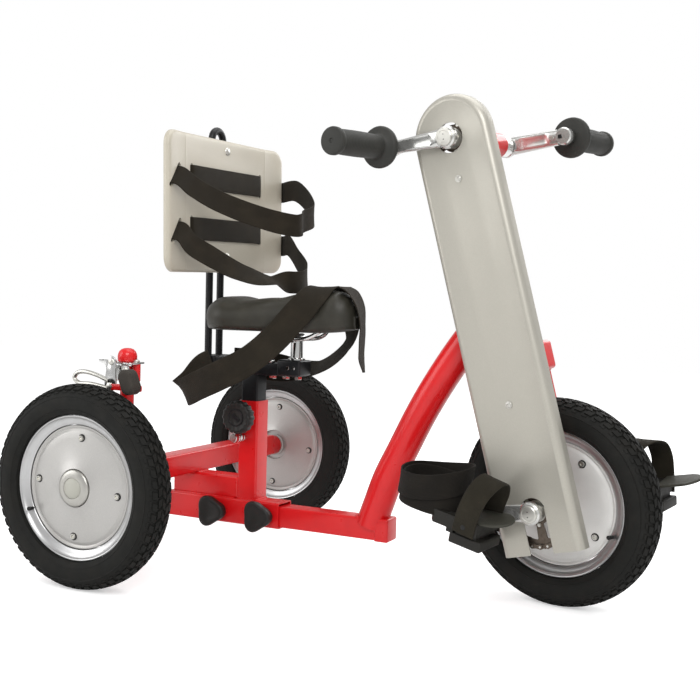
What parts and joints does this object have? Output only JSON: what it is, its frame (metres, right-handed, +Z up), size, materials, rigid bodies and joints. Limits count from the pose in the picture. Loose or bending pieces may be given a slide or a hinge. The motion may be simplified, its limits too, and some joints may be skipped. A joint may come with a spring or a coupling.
{
  "type": "adaptive tricycle",
  "caption": "Red tube-framed adaptive tricycle: hand cranks chained to a pedalled front wheel, saddle with strapped backrest panel, disc wheels, parking brake.",
  "frame": {"origin": "on the ground under the middle of the machine, half way between its foremost and rearmost points", "axes": "X forward along the direction of travel, Y to the rider's left along the rear axle, Z up"},
  "size_m": [1.0202, 0.6564, 0.7683],
  "materials": {
    "red_paint": "gloss red powder coat with a faint orange peel",
    "silver_paint": "warm silver satin enamel",
    "disc_silver": "light silver satin paint on the wheel discs",
    "chrome": "bright chrome plate",
    "steel": "plain zinc plated steel",
    "tyre_rubber": "black tyre rubber with a block tread",
    "grip_rubber": "dark grey moulded rubber",
    "black_plastic": "black moulded plastic",
    "black_paint": "black powder coat",
    "webbing": "woven black webbing",
    "saddle_skin": "dark olive vinyl",
    "panel_plastic": "warm grey sheet plastic",
    "ivory_plastic": "ivory plastic",
    "chain_steel": "dark oiled chain steel"
  },
  "bodies": {
    "frame": {"rear_frame": "red_paint", "right_axle": "steel", "left_axle": "steel", "brake_post_cap": "red_paint", "brake_bracket": "steel", "pull_pin_barrel": "chrome"},
    "right_wheel": {"right_wheel_tyre": "tyre_rubber", "right_wheel_rim": "chrome", "right_wheel_disc": "disc_silver", "right_hub_cap": "ivory_plastic"},
    "left_wheel": {"left_wheel_tyre": "tyre_rubber", "left_wheel_rim": "chrome", "left_wheel_disc": "disc_silver", "left_hub_cap": "ivory_plastic"},
    "front_frame": {"front_boom": "red_paint", "lower_headset_cup": "chrome", "upper_headset_cup": "chrome"},
    "boom_knob_1": {"boom_knob_1": "black_plastic"},
    "boom_knob_2": {"boom_knob_2": "black_plastic"},
    "seat_knob": {"seat_knob": "black_plastic"},
    "pull_pin": {"pull_pin": "chrome"},
    "seat": {"seat_mast": "black_paint", "saddle_post": "chrome", "saddle_rails": "chrome", "saddle": "saddle_skin", "lap_belt_right": "webbing", "lap_belt_left": "webbing", "lap_belt_tail": "webbing"},
    "backrest": {"back_hoop": "black_paint", "back_panel": "panel_plastic", "upper_chest_belt": "webbing", "lower_chest_belt": "webbing"},
    "brake": {"brake_lever": "chrome", "brake_pad": "grip_rubber"},
    "steering": {"fork": "red_paint", "hand_column": "red_paint", "chain_cover": "silver_paint", "cover_screw_1": "steel", "cover_screw_2": "steel", "chain": "chain_steel"},
    "front_wheel": {"front_wheel_tyre": "tyre_rubber", "front_wheel_rim": "chrome", "front_wheel_disc": "disc_silver", "foot_sprocket": "chain_steel", "right_foot_crank": "chrome", "left_foot_crank": "chrome"},
    "hand_cranks": {"hand_sprocket": "chain_steel", "right_hand_crank": "chrome", "left_hand_crank": "chrome"},
    "right_pedal": {"right_pedal": "black_plastic", "right_foot_plate": "black_plastic", "right_heel_band": "webbing", "right_toe_strap": "webbing"},
    "left_pedal": {"left_pedal": "black_plastic", "left_foot_plate": "black_plastic", "left_heel_band": "webbing", "left_toe_strap": "webbing"},
    "right_grip": {"right_grip": "grip_rubber"},
    "left_grip": {"left_grip": "grip_rubber"}
  },
  "joints": [
    {"name": "right_wheel_spin", "type": "hinge", "parent": "frame", "child": "right_wheel", "pos_m": [-0.35185, -0.299, 0.15841], "axis": [0, 1, 0], "continuous": true},
    {"name": "left_wheel_spin", "type": "hinge", "parent": "frame", "child": "left_wheel", "pos_m": [-0.35185, 0.299, 0.15841], "axis": [0, 1, 0], "continuous": true},
    {"name": "boom_length", "type": "slide", "parent": "frame", "child": "front_frame", "axis": [1, 0, 0], "range_m": [-0.05, 0.05]},
    {"name": "boom_knob_1_turn", "type": "hinge", "parent": "frame", "child": "boom_knob_1", "pos_m": [-0.28985, -0.03, 0.08541], "axis": [0, 1, 0], "range_deg": [0, 180]},
    {"name": "boom_knob_2_turn", "type": "hinge", "parent": "frame", "child": "boom_knob_2", "pos_m": [-0.19585, -0.03, 0.08541], "axis": [0, 1, 0], "range_deg": [0, 180]},
    {"name": "seat_knob_turn", "type": "hinge", "parent": "frame", "child": "seat_knob", "pos_m": [-0.22935, -0.03, 0.25217], "axis": [0, 1, 0], "range_deg": [0, 180]},
    {"name": "pull_pin_out", "type": "slide", "parent": "frame", "child": "pull_pin", "axis": [0, -1, 0], "range_m": [0, 0.008], "stiffness_N_per_m": 400},
    {"name": "seat_height", "type": "slide", "parent": "frame", "child": "seat", "axis": [0, 0, 1], "range_m": [-0.04, 0.05]},
    {"name": "backrest_height", "type": "slide", "parent": "seat", "child": "backrest", "axis": [0, 0, 1], "range_m": [0, 0.05]},
    {"name": "brake_swing", "type": "hinge", "parent": "frame", "child": "brake", "pos_m": [-0.33385, -0.252, 0.35017], "axis": [0, 1, 0], "range_deg": [-30, 0]},
    {"name": "steering", "type": "hinge", "parent": "front_frame", "child": "steering", "pos_m": [0.31515, 0, 0.15841], "axis": [-0.2588, 0, 0.9659], "range_deg": [-15.8, 38.2]},
    {"name": "foot_drive", "type": "hinge", "parent": "steering", "child": "front_wheel", "pos_m": [0.31515, 0, 0.15841], "axis": [0.1876, 0.981, 0.0503], "continuous": true},
    {"name": "hand_drive", "type": "hinge", "parent": "steering", "child": "hand_cranks", "pos_m": [0.1684, 0, 0.70609], "axis": [0.1876, 0.981, 0.0503], "continuous": true},
    {"name": "right_pedal_spin", "type": "hinge", "parent": "front_wheel", "child": "right_pedal", "pos_m": [0.22825, 0.01707, 0.14954], "axis": [0.1876, 0.981, 0.0503], "continuous": true},
    {"name": "left_pedal_spin", "type": "hinge", "parent": "front_wheel", "child": "left_pedal", "pos_m": [0.40204, -0.01707, 0.16728], "axis": [0.1876, 0.981, 0.0503], "continuous": true},
    {"name": "right_grip_spin", "type": "hinge", "parent": "hand_cranks", "child": "right_grip", "pos_m": [0.06881, 0.01957, 0.69592], "axis": [0.1876, 0.981, 0.0503], "continuous": true},
    {"name": "left_grip_spin", "type": "hinge", "parent": "hand_cranks", "child": "left_grip", "pos_m": [0.26799, -0.01957, 0.71625], "axis": [0.1876, 0.981, 0.0503], "continuous": true}
  ],
  "couplings": [
    {"joint": "hand_drive", "follows": "foot_drive", "ratio": 1}
  ]
}
